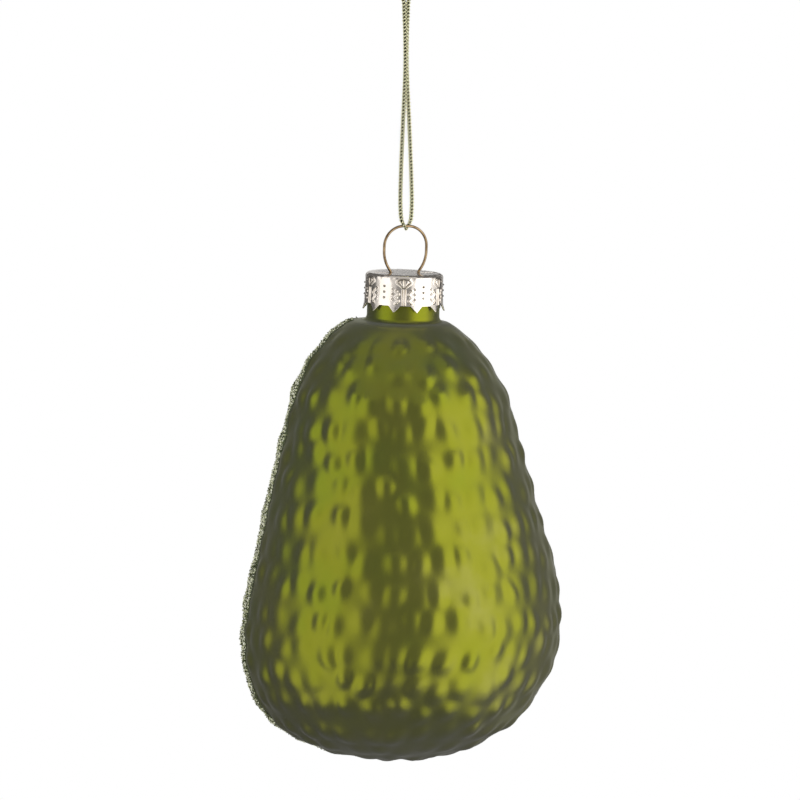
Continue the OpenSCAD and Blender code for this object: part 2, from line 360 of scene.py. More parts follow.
def braid(line, grip, roll):
    """The yarns of a braid along points a step apart, with its share of width and its roll at each."""
    last = len(line) - 1
    across = BRAID_START
    stations = []
    for i, point in enumerate(line):
        way = (line[min(i + 1, last)] - line[max(i - 1, 0)]).normalized()
        across = (across - across.dot(way) * way).normalized()
        stations.append((point, across.copy(), way.cross(across)))
    yarns = []
    for hand in (1, -1):
        for k in range(YARNS_EACH_WAY):
            yarn = []
            for i, (point, u, v) in enumerate(stations):
                lays = i * BRAID_STEP / BRAID_LAY
                lift = hand * YARN_LIFT * math.cos(2 * math.pi * YARNS_EACH_WAY * lays)
                a = 2 * math.pi * (hand * lays + k / YARNS_EACH_WAY) + roll[i]
                yarn.append(point + grip[i] * (BRAID_R + lift) * (math.cos(a) * u + math.sin(a) * v))
            yarns.append(yarn)
    return yarns


def cord_mesh(name, lines, grips=None, rolls=None):
    """Braided cords along the given lines, with their cores."""
    grips = grips or [[1.0] * len(line) for line in lines]
    rolls = rolls or [[0.0] * len(line) for line in lines]
    yarns, widths = [], []
    for line, grip, roll in zip(lines, grips, rolls):
        yarns += braid(line, grip, roll)
        widths += [grip] * (2 * YARNS_EACH_WAY)
    bm = bmesh.new()
    bm.from_mesh(tubes(name, yarns, YARN_D, YARN_SIDES, widths))
    yarn_faces = len(bm.faces)
    cores = [line[::CORE_SKIP] + line[-1:] for line in lines]
    core_widths = [grip[::CORE_SKIP] + grip[-1:] for grip in grips]
    bm.from_mesh(tubes(name, cores, CORE_D, YARN_SIDES, core_widths))
    bm.faces.ensure_lookup_table()
    for face in bm.faces[yarn_faces:]:
        face.material_index = 1
    return as_mesh(name, bm)


def metallic_yarn(name, dark, light, rough, metallic, gloss, sheen):
    """Thread with fine fibres, between a dark and a light colour."""
    def varying(place):
        fibre = noise_at(place, 0.12, detail=1.0)
        return {
            "Base Color": fibre.ramp((0.3, dark), (0.7, light)),
            "Roughness": rough + 0.15 * fibre,
            "Normal": fibre.bump(0.4, 0.00003),
        }
    settings = {
        "Metallic": metallic, "Specular IOR Level": gloss, "Sheen Weight": sheen, "Sheen Roughness": 0.3,
    }
    return finish_material(name, settings, varying)


def make_cord():
    half = [Vector(p) for p in STRAND] + [Vector(p) + ring_crown for p in BIGHT]
    other = [Vector((-p.x, -p.y, p.z)) for p in reversed(half)]
    line = evenly(spline(half + [Vector(BIGHT_LOW) + ring_crown] + other, SPAN_STEPS), BRAID_STEP)
    length = length_of(line)
    from_bight = [(i - (len(line) - 1) / 2) * BRAID_STEP for i in range(len(line))]
    grip, roll = [], []
    for place in from_bight:
        grip.append(TIGHT + (1 - TIGHT) * smoothstep(TIGHT_FROM * CORD_D, TIGHT_TO * CORD_D, abs(place)))
        roll.append(ROLL * smoothstep(-ROLL_REACH * CORD_D, ROLL_REACH * CORD_D, place))
    finish = [
        metallic_yarn("gold_yarn", dark=(0.97, 0.92, 0.47), light=(1.0, 1.0, 0.73),
                      rough=0.22, metallic=0.1, gloss=0.5, sheen=1.0),
        # The core is near black with little gloss: painted shade that darkens the gaps between the stitches
        metallic_yarn("core_painted_gap_shade", dark=(0.004, 0.004, 0.002), light=(0.012, 0.01, 0.004),
                      rough=0.8, metallic=0.0, gloss=0.1, sheen=0.0),
    ]
    loop = cord_mesh("braided_cord", [line], [grip], [roll])
    cord = add_piece("braided_cord", loop, "cord", finish, ["cord_loop"], place=Matrix())
    tied = cord_mesh("braided_knot", knot_lines())
    knot = add_piece("braided_knot", tied, "cord", finish, ["cord_knot"], place=Matrix())
    line[::4] + line[-1:]


def knot_lines():
    """Both strands go up through the knot into their tails; a doubled turn is wrapped round them."""
    lines = []
    slant = math.radians(TAIL_SLANT)
    foot_x = -STRAND[0][0]
    for side in (-1, 1):
        root = Vector((side * TAIL_OUT, 0, KNOT_H))
        tip = root + TAIL_L * Vector((side * math.sin(slant), 0, math.cos(slant)))
        waist = (side * TAIL_OUT, 0, 0.4 * KNOT_H)
        tail = [(side * foot_x, 0, 0), waist, root, root.lerp(tip, 0.5), tip]
        lines.append(evenly(spline(tail, SPAN_STEPS), BRAID_STEP))
    for k in range(2):
        wrap = []
        for i in range(WRAP_STEPS + 1):
            t = i / WRAP_STEPS
            a = 2 * math.pi * WRAP_TURNS * (t - 0.5) + WRAP_START
            tuck = smoothstep(0, TUCK_SHARE, t) * smoothstep(0, TUCK_SHARE, 1 - t)
            out = TUCKED + (1 - TUCKED) * tuck
            rise = KNOT_H * 0.5 + CORD_D * (k - 0.5) + WRAP_CLIMB * (t - 0.5) + WRAP_WAVE * math.sin(a)
            wrap.append(Vector((WRAP_LONG * math.cos(a) * out, WRAP_SHORT * math.sin(a) * out, rise)))
        lines.append(evenly(wrap, BRAID_STEP))
    return lines


make_cord()


# Hanger wire
ARC_STEPS, WIRE_SIDES = 18, 16


def wire_line():
    """Half of the bent wire from the middle of its crown to the tip of its spring leg, as X and Z."""
    arc_r = RING_R - CROWN_L / 2
    flank_z = -arc_r - RING_SIDE
    turn = math.radians(FLANK_TURN)
    turn_x = RING_R - FLANK_R + (FLANK_R + BEND_R) * math.cos(turn)
    bend_z = flank_z - (FLANK_R + BEND_R) * math.sin(turn)
    tip_x = NECK_R - GLASS_WALL - WIRE_D / 2 - LEG_CLEAR
    lean = math.asin((tip_x - turn_x) / math.hypot(LEG_L, BEND_R)) + math.atan(BEND_R / LEG_L)
    arcs = [
        (CROWN_L / 2, -arc_r, arc_r, math.pi / 2, 0.0),
        (RING_R - FLANK_R, flank_z, FLANK_R, 0.0, -turn),
        (turn_x, bend_z, BEND_R, math.pi - turn, math.pi + lean),
    ]
    line = []
    for x, z, radius, start, end in arcs:
        for i in range(ARC_STEPS + 1):
            a = start + (end - start) * i / ARC_STEPS
            line.append(Vector((x + radius * math.cos(a), 0, z + radius * math.sin(a))))
    line.append(line[-1] + LEG_L * Vector((math.sin(lean), 0, -math.cos(lean))))
    return line


def brass():
    def varying(place):
        stain = noise_at(place, 1.5, detail=3.0)
        scratch = noise_at(place, 0.25, detail=2.0)
        return {
            "Base Color": stain.ramp((0.3, (0.17, 0.11, 0.055)), (0.7, (0.48, 0.34, 0.19))),
            "Roughness": 0.08 + 0.14 * stain,
            "Normal": scratch.bump(0.2, 0.00002),
        }
    return finish_material("brass", {"Metallic": 1.0}, varying)


half_wire = wire_line()
whole_wire = [Vector((-p.x, 0, p.z)) for p in reversed(half_wire)] + half_wire
add_piece("bent_wire", tubes("bent_wire", [whole_wire], WIRE_D, WIRE_SIDES), "hanger",
          [brass()], ["hanger_wire"])


# Cap: stamped metal with six fan motifs, beads between them and a crown of teeth
# Divisions round the cap and down its outline, the radius of its flat top, and the rows of its other parts
CAP_TURNS, CAP_ROW = 528, 0.14
TOP_FLAT, TOP_ROWS, EDGE_STEPS, INNER_EDGE_STEPS, INNER_SKIP = 8.4, 6, 8, 4, 3
# The teeth are a little wider than the solid's; the skirt between them keeps a small share of their length
TOOTH_W, TOOTH_LEAST, TEETH_TURN = 3.0, 0.06, 5.5
# How far the tips of the teeth flare, and the foot of the skirt, with the height over which that fades
TIP_FLARE, SKIRT_FLARE, SKIRT_FLARE_H = 0.5, 0.14, 2.5
MOTIFS, EMBOSS = 6, 0.26
# Height to each side of the cap's top within which the wire needs its slot
SLOT_REACH = 2.0
# Ripples of the top edge, which grow between these two radii
RIPPLES, RIPPLE, RIPPLE_FROM, RIPPLE_TO = 31, 0.03, 7.6, 8.6
# The motif: a fan with its arch, a double stem, a scroll to each side, and beads at these places
FAN_H, FAN_R, FAN_SPREAD, FAN_SIDE = 4.1, 2.3, 44, 52
STEM_X, SCROLL_X, SCROLL_SWING, SCROLL_TOP = 0.32, 1.55, 0.3, 3.9
BEAD_R = 0.3
BEADS = [(2.75, 1.5), (2.75, 2.7), (2.75, 3.9), (4.87, 1.8), (4.87, 3.15), (4.87, 4.5)]
cap_in_r = NECK_R + CAP_CLEAR
cap_out_r = cap_in_r + CAP_WALL
root_z = cap_top_z - SKIRT_H


def ridge(distance, half_width):
    """A rounded ridge, 1 high on its line."""
    return max(0.0, 1 - (distance / half_width) ** 2) ** 1.5


def motif(x, h):
    """Raised pattern of one motif, from 0 to 1; x lies across it and h is the height over the teeth."""
    x = abs(x)
    raised = 0.0
    rho, alpha = math.hypot(x, h - FAN_H), math.degrees(math.atan2(x, h - FAN_H))
    # Petals, the arch over them and the two straight sides of the fan
    if alpha < FAN_SPREAD:
        petal = smoothstep(0.2, 0.5, rho) * smoothstep(2.2, 1.9, rho)
        raised = petal * math.sin(math.pi * alpha / FAN_SPREAD) ** 0.6
    raised = max(raised, 0.9 * ridge(rho - FAN_R, 0.3) * smoothstep(58, 50, alpha))
    if rho < FAN_R and alpha < 80:
        raised = max(raised, 0.9 * ridge(rho * math.radians(alpha - FAN_SIDE), 0.28))
    # Stem, scrolls and beads
    if 0 < h < SCROLL_TOP:
        raised = max(raised, 0.8 * ridge(x - STEM_X, 0.2))
    if 0.2 < h < SCROLL_TOP:
        wave = SCROLL_X + SCROLL_SWING * math.sin(2 * math.pi * h / SCROLL_X)
        ends = smoothstep(0.2, 0.5, h) * smoothstep(SCROLL_TOP, 3.5, h)
        raised = max(raised, ends * ridge(x - wave, 0.5))
    for bead_x, bead_h in BEADS:
        raised = max(raised, ridge(math.hypot(x - bead_x, h - bead_h), BEAD_R))
    return raised


def cap_outline():
    """Outline from the middle of the top, over the edge, down to the tips and back up inside."""
    inner_edge = CAP_EDGE_R - CAP_WALL
    tip_z = root_z - TOOTH_H
    edge_z = cap_top_z - CAP_EDGE_R
    drop = tip_z - cap_top_z + CAP_EDGE_R
    line = [(TOP_FLAT * i / TOP_ROWS, cap_top_z) for i in range(TOP_ROWS)]
    for i in range(EDGE_STEPS + 1):
        a = math.pi / 2 * (1 - i / EDGE_STEPS)
        line.append((cap_out_r - CAP_EDGE_R + CAP_EDGE_R * math.cos(a), edge_z + CAP_EDGE_R * math.sin(a)))
    rows = round((edge_z - tip_z) / CAP_ROW)
    for i in range(1, rows + 1):
        line.append((cap_out_r, edge_z + drop * i / rows))
    for i in range(rows, 0, -INNER_SKIP):
        line.append((cap_in_r, edge_z + drop * i / rows))
    for i in range(INNER_EDGE_STEPS + 1):
        a = math.pi / 2 * i / INNER_EDGE_STEPS
        line.append((cap_in_r - inner_edge + inner_edge * math.cos(a), edge_z + inner_edge * math.sin(a)))
    line.append((0, cap_top_z - CAP_WALL))
    return line


def shape_cap(verts, stamp):
    """Stamps the motifs, ripples the top edge and draws the lowest rows out into flared teeth."""
    pitch = 2 * math.pi / TEETH
    ripple_low = SKIRT_H - 2 * CAP_EDGE_R
    for v in verts:
        radius, turn = math.hypot(v.co.x, v.co.y), math.atan2(v.co.y, v.co.x)
        if radius < TOP_FLAT / TOP_ROWS / 2:
            continue
        height = v.co.z - root_z
        grow = 0.0
        from_tooth = (turn - math.radians(TEETH_TURN) + pitch / 2) % pitch - pitch / 2
        tooth = max(1 - abs(from_tooth) * cap_out_r / (TOOTH_W / 2), TOOTH_LEAST)
        if height < 0:
            v.co.z = root_z + height * tooth
            grow = TIP_FLARE * (-height / TOOTH_H * tooth) ** 1.3
        grow += SKIRT_FLARE * smoothstep(SKIRT_FLARE_H, 0, height)
        if radius > cap_in_r + 0.9 * CAP_WALL and height > 0:
            step = 2 * math.pi / MOTIFS
            from_motif = (turn - math.radians(VIEW_AZIMUTH - 90) + step / 2) % step - step / 2
            v[stamp] = motif(from_motif * cap_out_r, height)
            grow += EMBOSS * v[stamp]
        if height > ripple_low:
            near = smoothstep(ripple_low, SKIRT_H - 0.3, height) * smoothstep(RIPPLE_FROM, RIPPLE_TO, radius)
            grow += near * RIPPLE * math.sin(RIPPLES * turn + 2 * math.sin(3 * turn))
        v.co.x *= 1 + grow / radius
        v.co.y *= 1 + grow / radius


def cut_slots(mesh):
    """Cuts the two slots for the wire through the cap's top."""
    wire_x = [p.x for p in half_wire if abs(p.z - cap_top_z) < SLOT_REACH]
    slot_w = WIRE_D + 2 * SLOT_CLEAR
    inner_x = min(wire_x) - WIRE_D / 2 - SLOT_CLEAR
    outer_x = NECK_R - GLASS_WALL
    cutter = bmesh.new()
    for side in (-1, 1):
        shift = Matrix.Translation((side * (inner_x + outer_x) / 2, 0, cap_top_z))
        bmesh.ops.create_cube(cutter, size=1.0, matrix=shift @ Matrix.Diagonal(
            (outer_x - inner_x, slot_w, 4 * CAP_WALL, 1)))
    holder = bpy.data.objects.new("slots", as_mesh("slots", cutter))
    cap_holder = bpy.data.objects.new("cap_blank", mesh)
    for one in (holder, cap_holder):
        bpy.context.scene.collection.objects.link(one)
    cut = cap_holder.modifiers.new("slots", "BOOLEAN")
    cut.object = holder
    cut.solver = "EXACT"
    done = bpy.data.meshes.new_from_object(cap_holder.evaluated_get(bpy.context.evaluated_depsgraph_get()))
    for one in (holder, cap_holder):
        bpy.data.objects.remove(one)
    return done


def make_cap():
    bm = bmesh.new()
    stamp = bm.verts.layers.float.new("stamp")
    lathe(bm, cap_outline(), CAP_TURNS)
    bmesh.ops.remove_doubles(bm, verts=bm.verts, dist=SEAM)
    shape_cap(bm.verts, stamp)
    bmesh.ops.recalc_face_normals(bm, faces=bm.faces)
    return cut_slots(as_mesh("stamped_cap", bm))


def champagne_metal():
    """Pale metal with stains, and painted shade that darkens the slopes of the stamping."""
    def varying(place):
        stain = noise_at(place, 2.5, detail=3.0)
        grain = noise_at(place, 0.3, detail=2.0)
        stamp = attribute_at(place, "stamp")
        # Painted shade: the slopes of the stamping are darkened towards the dark brown first stop
        tone_with_painted_shading = stain - 1.6 * stamp * (1 - stamp)
        return {
            "Base Color": tone_with_painted_shading.ramp(
                (0.0, (0.40, 0.34, 0.26)), (0.3, (0.86, 0.78, 0.69)), (0.7, (0.95, 0.88, 0.80))),
            "Roughness": 0.12 + 0.1 * stain,
            "Normal": grain.bump(0.15, 0.00003),
        }
    return finish_material("champagne_metal", {"Metallic": 0.95}, varying)


add_piece("stamped_cap", make_cap(), "cap", [champagne_metal()], ["cap"])


# Glass body, with the places of its lacquers in the shell's list of materials
SKIN, FLESH, PIT = 0, 1, 2
SPIN_STEPS, SKIN_STEP, INNER_STEP = 440, 0.85, 4.5
OUTLINE_STEPS, FILLET_STEPS, NECK_STEPS, LIP_STEPS, BORE_STEPS = 60, 8, 6, 6, 3
MID_H = BODY_H / 2
# Sideways sway of the hand-blown fruit, as height above its lowest point and shift towards +X
SWAY = [
    (0, -1.6), (6, -1.35), (14, -0.4), (26, 0.8), (36, 1.8), (46, 1.95), (65, 1.35), (84, 0.9), (104.5, 0.6),
]
# How far inside the neck's foot the crown is held in place, and how far outside it is free to lean
CROWN_HELD, CROWN_FREE = 1.0, 3.0
# The lower part is a little wider and lower than the plain fruit
SWELL, SWELL_H, SAG, SAG_H = 0.02, 36.0, 0.7, 20.0
# The rounding of the cut face's rim, full at one depth under the neck's foot and none at a smaller one
RIM_ROUND, RIM_FULL, RIM_SHARP = 2.6, 7, 0.5
RIM_MERGE = 0.25
# The pebbles end this far under the neck's foot, and the rim's rounding this far above it
NECK_MARGIN = 0.3
# Rings of the cut face and of the pit, outside and inside the glass, and the crease between face and pit
FACE_RINGS, PIT_RINGS, INNER_FACE_RINGS, INNER_PIT_RINGS = 12, 12, 3, 4
CREASE_R, CREASE_STEPS, CREASE_RISE, CREASE_TUCK = 1.3, 4, 1.1, 0.55
# How much the rings crowd together towards the pit, and the places of the first and last ring on it
RING_EASE, FIRST_RING, LAST_RING = 1.5, 0.35, 0.2


def fruit_outline():
    """Half outline of the fruit, as radius and height, from its lowest point to the flat crown."""
    shoulder_h = BODY_H - SHOULDER_DROP
    run = math.tan(math.radians(FLANK_LEAN))
    crown_r = foot_r + CROWN_RIM
    base = []
    for i in range(OUTLINE_STEPS + 1):
        a = math.pi / 2 * i / OUTLINE_STEPS
        across, down = (max(f(a), 0.0) ** (2 / BASE_POWER) for f in (math.sin, math.cos))
        base.append(Vector((BELLY_R * across, BELLY_H - BELLY_H * down)))
    flank = bezier([
        (BELLY_R, BELLY_H), (BELLY_R, BELLY_H + FLANK_PULL),
        (SHOULDER_R + run * FLANK_PULL, shoulder_h - FLANK_PULL), (SHOULDER_R, shoulder_h)], OUTLINE_STEPS)
    shoulder = bezier([
        (SHOULDER_R, shoulder_h), (SHOULDER_R - run * SHOULDER_PULL, shoulder_h + SHOULDER_PULL),
        (crown_r + CROWN_PULL, BODY_H), (crown_r, BODY_H)], OUTLINE_STEPS)
    return base + flank[1:] + shoulder[1:]


def neck_outline():
    """Fillet, neck wall, round lip and bore, continuing the fruit's outline."""
    lip = GLASS_WALL / 2
    mouth = BODY_H + NECK_H
    line = []
    for i in range(FILLET_STEPS + 1):
        a = math.pi / 2 * i / FILLET_STEPS
        line.append(Vector((foot_r - NECK_FILLET * math.sin(a), BODY_H + NECK_FILLET * (1 - math.cos(a)))))
    for i in range(1, NECK_STEPS + 1):
        line.append(Vector((NECK_R, BODY_H + NECK_FILLET + (NECK_H - NECK_FILLET - lip) * i / NECK_STEPS)))
    for i in range(1, LIP_STEPS + 1):
        a = math.pi * i / LIP_STEPS
        line.append(Vector((NECK_R - lip + lip * math.cos(a), mouth - lip + lip * math.sin(a))))
    for i in range(1, BORE_STEPS + 1):
        line.append(Vector((NECK_R - GLASS_WALL, mouth - lip - (NECK_H + GLASS_WALL) * i / BORE_STEPS)))
    return line


def sway_at(height):
    """Shift of the fruit towards +X at a height above its lowest point."""
    for (h0, s0), (h1, s1) in zip(SWAY, SWAY[1:]):
        if height <= h1:
            return s0 + (s1 - s0) * smoothstep(h0, h1, height)
    return SWAY[-1][1]


def lean_and_sway(verts):
    """Leans and sways the fruit under its upright neck, and widens and lowers its underside."""
    lean = math.tan(math.radians(FRUIT_LEAN))
    for v in verts:
        height = v.co.z - low_z
        radius = math.hypot(v.co.x, v.co.y)
        share = smoothstep(foot_r - CROWN_HELD, foot_r + CROWN_FREE, radius) if height > MID_H else 1.0
        v.co.x *= 1 + SWELL * smoothstep(SWELL_H, SWELL_H / 2, height)
        v.co.x += share * (sway_at(height) - (height - MID_H) * lean)
        v.co.z -= SAG * smoothstep(SAG_H, 0, height)


# The pebbled skin: upright oval pebbles in staggered rows
PEBBLE_ROW, PEBBLE_COLUMN, PEBBLE_RISE = 7.7, 6.0, 0.74
PEBBLE_W, PEBBLE_H, PEBBLE_SHIFT, PEBBLE_STRAY, PEBBLE_SLANT = 2.2, 2.8, 2.1, 0.25, 0.12
# Shares between which the pebbles vary in size, rise and width
SIZE_SHARES, RISE_SHARES, WIDTH_SHARES = (0.85, 1.15), (0.5, 1.1), (0.9, 1.1)
# How steep the pebbles' sides are, and how far the ground between them sinks, as a share of their rise
PEBBLE_POWER, GROUND_SHARE = 1.15, 0.4
LUMP_SIZE, LUMP_RISE = 15.0, 0.3
# Distances from the neck and from the cut face over which the pebbles fade in
NECK_FADE, FACE_BARE, FACE_FADE = 5, -0.5, 3.5


def pebble_rows(outline):
    """Rows of pebbles up the skin, each pebble as its turn, height, rise, half sizes and slant."""
    draw = random.Random(11)
    rows = []
    for k, point in enumerate(evenly(outline, PEBBLE_ROW)):
        count = round(2 * math.pi * point.x / PEBBLE_COLUMN)
        row = []
        for i in range(count):
            size = draw.uniform(*SIZE_SHARES)
            row.append((
                (i + 0.5 * (k % 2) + draw.uniform(-PEBBLE_STRAY, PEBBLE_STRAY)) / count,
                draw.uniform(-PEBBLE_SHIFT, PEBBLE_SHIFT),
                PEBBLE_RISE * draw.uniform(*RISE_SHARES), PEBBLE_W * size * draw.uniform(*WIDTH_SHARES),
                PEBBLE_H * size, draw.gauss(0, PEBBLE_SLANT)))
        rows.append(row)
    return rows


def pebble(verts, along, outline):
    """Raises the pebbles and some broad lumps on the skin, fading out at the neck and the cut face."""
    rows = pebble_rows(outline)
    pitch = length_of(outline) / (len(rows) - 1)
    for v in verts:
        radius = math.hypot(v.co.x, v.co.y)
        turn = math.atan2(v.co.y, v.co.x) / (2 * math.pi)
        first = int(v[along] / pitch)
        rise = 0.0
        for k in range(max(first - 1, 0), min(first + 3, len(rows))):
            row = rows[k]
            if not row:
                continue
            near = math.floor(turn * len(row) - 0.5 * (k % 2) + 0.5)
            for i in (near - 1, near, near + 1):
                at, shift, high, half_w, half_h, slant = row[i % len(row)]
                away = (turn - at + 0.5) % 1.0 - 0.5
                w = v[along] - pitch * k - shift
                u = away * 2 * math.pi * radius - slant * w
                away_share = (u / half_w) ** 2 + (w / half_h) ** 2
                rise += (high * math.exp(-away_share ** PEBBLE_POWER)) ** 2
        rise = math.sqrt(rise) + noise.noise(v.co / LUMP_SIZE) * LUMP_RISE
        fade = smoothstep(0, NECK_FADE, foot_z - v.co.z)
        fade *= smoothstep(FACE_BARE, FACE_FADE, face_y - v.co.y)
        v.co += v.normal * fade * (rise - GROUND_SHARE * PEBBLE_RISE)


def round_rim(verts):
    """Rounds the edge between the skin and the cut face, less and less towards the neck."""
    for v in verts:
        depth = face_y - v.co.y
        if depth < RIM_ROUND:
            drop = RIM_ROUND - math.sqrt(max(RIM_ROUND ** 2 - (RIM_ROUND - depth) ** 2, 0.0))
            inward = Vector((-v.normal.x, 0, -v.normal.z)).normalized()
            v.co += inward * drop * smoothstep(RIM_SHARP, RIM_FULL, foot_z - v.co.z)


def close_face(bm, edges, plane_y, pit_centre, pit_r, rings, pit_rings, flesh, glue, edge):
    """Fills the flat cut with a glued edge and rings that run in to the pit and then over its ball."""
    foot = math.sqrt(pit_r ** 2 - (plane_y - pit_centre.y) ** 2)
    outer = foot + CREASE_R

    def next_ring(move, material, glued=0):
        nonlocal edges
        grown = bmesh.ops.extrude_edge_only(bm, edges=edges)["geom"]
        for v in (g for g in grown if isinstance(g, bmesh.types.BMVert)):
            off = Vector((v.co.x - pit_centre.x, v.co.z - pit_centre.z))
            radius, y, v[flesh] = move(off.length)
            off *= radius / off.length
            v.co = Vector((pit_centre.x + off.x, y, pit_centre.z + off.y))
        for face in (g for g in grown if isinstance(g, bmesh.types.BMFace)):
            face.material_index = material
            face[glue] = glued
        edges = [g for g in grown if isinstance(g, bmesh.types.BMEdge) and g.is_boundary]

    next_ring(lambda r: (r - edge, plane_y, 0.0), FLESH, 1)
    for k in range(rings):
        t0, t1 = k / rings, (k + 1) / rings
        ease0, ease1 = 1 - (1 - t0) ** RING_EASE, 1 - (1 - t1) ** RING_EASE
        step = (ease1 - ease0) / (1 - ease0)
        next_ring(lambda r: (r + (outer - r) * step, plane_y, ease1), FLESH)
    for k in range(1, CREASE_STEPS):
        a = k / CREASE_STEPS
        ring_r = outer - 2 * CREASE_R * a + CREASE_R * a * a
        ring_y = plane_y + CREASE_R * CREASE_RISE * a * a
        next_ring(lambda r: (ring_r, ring_y, 1.0), FLESH)
    start = math.asin((foot - CREASE_R * CREASE_TUCK) / pit_r)
    for k in range(pit_rings):
        a = start * (1 - (k + FIRST_RING) / (pit_rings - LAST_RING))
        next_ring(lambda r: (pit_r * math.sin(a), pit_centre.y + pit_r * math.cos(a), 1.0), PIT)
    top = bmesh.ops.edgeloop_fill(bm, edges=edges, mat_nr=PIT)["faces"]
    for v in bmesh.ops.poke(bm, faces=top)["verts"]:
        v.co.y = pit_centre.y + pit_r
        v[flesh] = 1.0


def shell_profile(outline):
    """Half outline up the skin, over the lip and down inside, with its counts of skin and outer rows."""
    skin = evenly(outline, SKIN_STEP)
    inner = evenly(outline, INNER_STEP)
    wall = []
    for i, point in enumerate(inner[:-1]):
        way = inner[i + 1] - inner[max(i - 1, 0)]
        inward = Vector((-way.y, way.x)).normalized() if i else Vector((0, 1))
        wall.append(point + inward * GLASS_WALL)
    neck = neck_outline()
    profile = skin[:-1] + neck + [p for p in reversed(wall) if p.y < BODY_H - 3 * GLASS_WALL]
    return [(p.x, low_z + p.y) for p in profile], len(skin) - 1, len(skin) - 1 + len(neck) - BORE_STEPS


def make_glass():
    """One blown shell: pebbled skin, rounded rim, cut face, pit and open neck, with its inner wall."""
    outline = fruit_outline()
    bm = bmesh.new()
    flesh = bm.verts.layers.float.new("flesh")
    along = bm.verts.layers.float.new("along")
    mark = bm.verts.layers.int.new("inner")
    glue = bm.faces.layers.int.new("glue")
    profile, skin_rows, outer_rows = shell_profile(outline)
    skin_length = length_of(outline)
    for v, row in lathe(bm, profile, SPIN_STEPS).items():
        v[along] = min(row / skin_rows, 1.0) * skin_length
        v[mark] = row >= outer_rows
    bmesh.ops.remove_doubles(bm, verts=bm.verts, dist=SEAM)
    bmesh.ops.recalc_face_normals(bm, faces=bm.faces)
    bm.normal_update()
    pebble([v for v in bm.verts if not v[mark] and v.co.z < foot_z - NECK_MARGIN], along, outline)
    lean_and_sway(bm.verts)
    for layer, plane in ((0, face_y), (1, face_y - GLASS_WALL)):
        verts = [v for v in bm.verts if v[mark] == layer]
        part = set(verts)
        faces = [f for f in bm.faces if all(v in part for v in f.verts)]
        edges = dict.fromkeys(e for f in faces for e in f.edges)
        geom = verts + list(edges) + faces
        bmesh.ops.bisect_plane(bm, geom=geom, plane_co=(0, plane, 0), plane_no=(0, 1, 0),
                               clear_outer=True, dist=ON_CUT)
    bm.normal_update()
    round_rim([v for v in bm.verts if not v[mark] and v.co.z < foot_z + NECK_MARGIN
               and v.co.y > face_y - RIM_ROUND])
    bmesh.ops.remove_doubles(bm, verts=[v for v in bm.verts if v.is_boundary], dist=RIM_MERGE)
    pit_centre = Vector((sway_at(PIT_H) + (MID_H - PIT_H) * math.tan(math.radians(FRUIT_LEAN)),
                         face_y + PIT_OUT - PIT_R, low_z + PIT_H))
    rims = [e for e in bm.edges if e.is_boundary]
    outer_rim = [e for e in rims if e.verts[0].co.y > face_y - 0.5 * GLASS_WALL]
    inner_rim = [e for e in rims if e.verts[0].co.y <= face_y - 0.5 * GLASS_WALL]
    close_face(bm, outer_rim, face_y, pit_centre, PIT_R, FACE_RINGS, PIT_RINGS, flesh, glue, GLITTER_FRONT)
    close_face(bm, inner_rim, face_y - GLASS_WALL, pit_centre, PIT_R - GLASS_WALL,
               INNER_FACE_RINGS, INNER_PIT_RINGS, flesh, glue, GLASS_WALL)
    for v in bm.verts:
        v[mark] = v[mark] or abs(v.co.y - face_y + GLASS_WALL) < 10 * ON_CUT
    bmesh.ops.recalc_face_normals(bm, faces=bm.faces)
    settle_order(bm)
    return bm


# The skin's lacquer is paler lower down, and paler to the right as painted light from the brighter lamp on
# that side, by this much tone per metre from this height
PAINTED_LIGHT_ACROSS, TONE_DOWN, TONE_Z = 5.0, 3.0, -0.14


def skin_lacquer():
    """Clouded green lacquer over silver."""
    def varying(place):
        cloud = noise_at(place, 13.0, detail=3.0)
        grain = noise_at(place, 0.7, detail=2.0)
        across = place.node("ShaderNodeSeparateXYZ", {}, {0: place}, out="X")
        up = place.node("ShaderNodeSeparateXYZ", {}, {0: place}, out="Z")
        # Painted light: the tone rises to the right, towards the paler, bluer last stop, as under the
        # brighter lamp
        tone_with_painted_shading = cloud + PAINTED_LIGHT_ACROSS * across - TONE_DOWN * (up - TONE_Z)
        return {
            "Base Color": tone_with_painted_shading.ramp(
                (0.15, (0.168, 0.200, 0.0005)), (0.4, (0.192, 0.203, 0.001)),
                (0.6, (0.208, 0.213, 0.006)), (0.8, (0.236, 0.233, 0.034))),
            "Roughness": 0.28 + 0.06 * cloud,
            "Normal": grain.bump(0.25, 0.00004),
        }
    return finish_material("skin_lacquer", {
        "Metallic": 0.93, "Coat Weight": 1.0, "Specular Tint": (0.6, 0.6, 0.5, 1.0),
        "Coat IOR": 1.42, "Coat Roughness": 0.9,
        "Sheen Weight": 0.17, "Sheen Roughness": 0.6, "Sheen Tint": (0.78, 0.77, 0.82, 1.0)}, varying)


def flesh_lacquer():
    def varying(place):
        share = attribute_at(place, "flesh")
        cloud = noise_at(place, 5.0, detail=3.0)
        ring = share + 0.12 * (cloud - 0.5)
        return {
            "Base Color": ring.ramp(
                (0.0, (0.23, 0.33, 0.05)), (0.25, (0.50, 0.56, 0.16)),
                (0.55, (0.74, 0.69, 0.31)), (1.0, (0.76, 0.66, 0.27))),
            "Roughness": 0.30 + 0.12 * cloud,
            "Normal": noise_at(place, 1.2).bump(0.2, 0.00006),
        }
    return finish_material("flesh_lacquer", {
        "Metallic": 0.35, "Coat Weight": 0.6, "Coat Roughness": 0.12}, varying)


def pit_lacquer():
    def varying(place):
        streak = noise_at(place, 3.0, detail=4.0, stretch=(1.0, 1.0, 0.3))
        return {
            "Base Color": streak.ramp((0.3, (0.10, 0.034, 0.012)), (0.7, (0.20, 0.075, 0.025))),
            "Roughness": 0.24 + 0.1 * streak,
            "Normal": streak.bump(0.3, 0.0001),
        }
    return finish_material("pit_lacquer", {
        "Metallic": 0.4, "Coat Weight": 1.0, "Coat Roughness": 0.06}, varying)


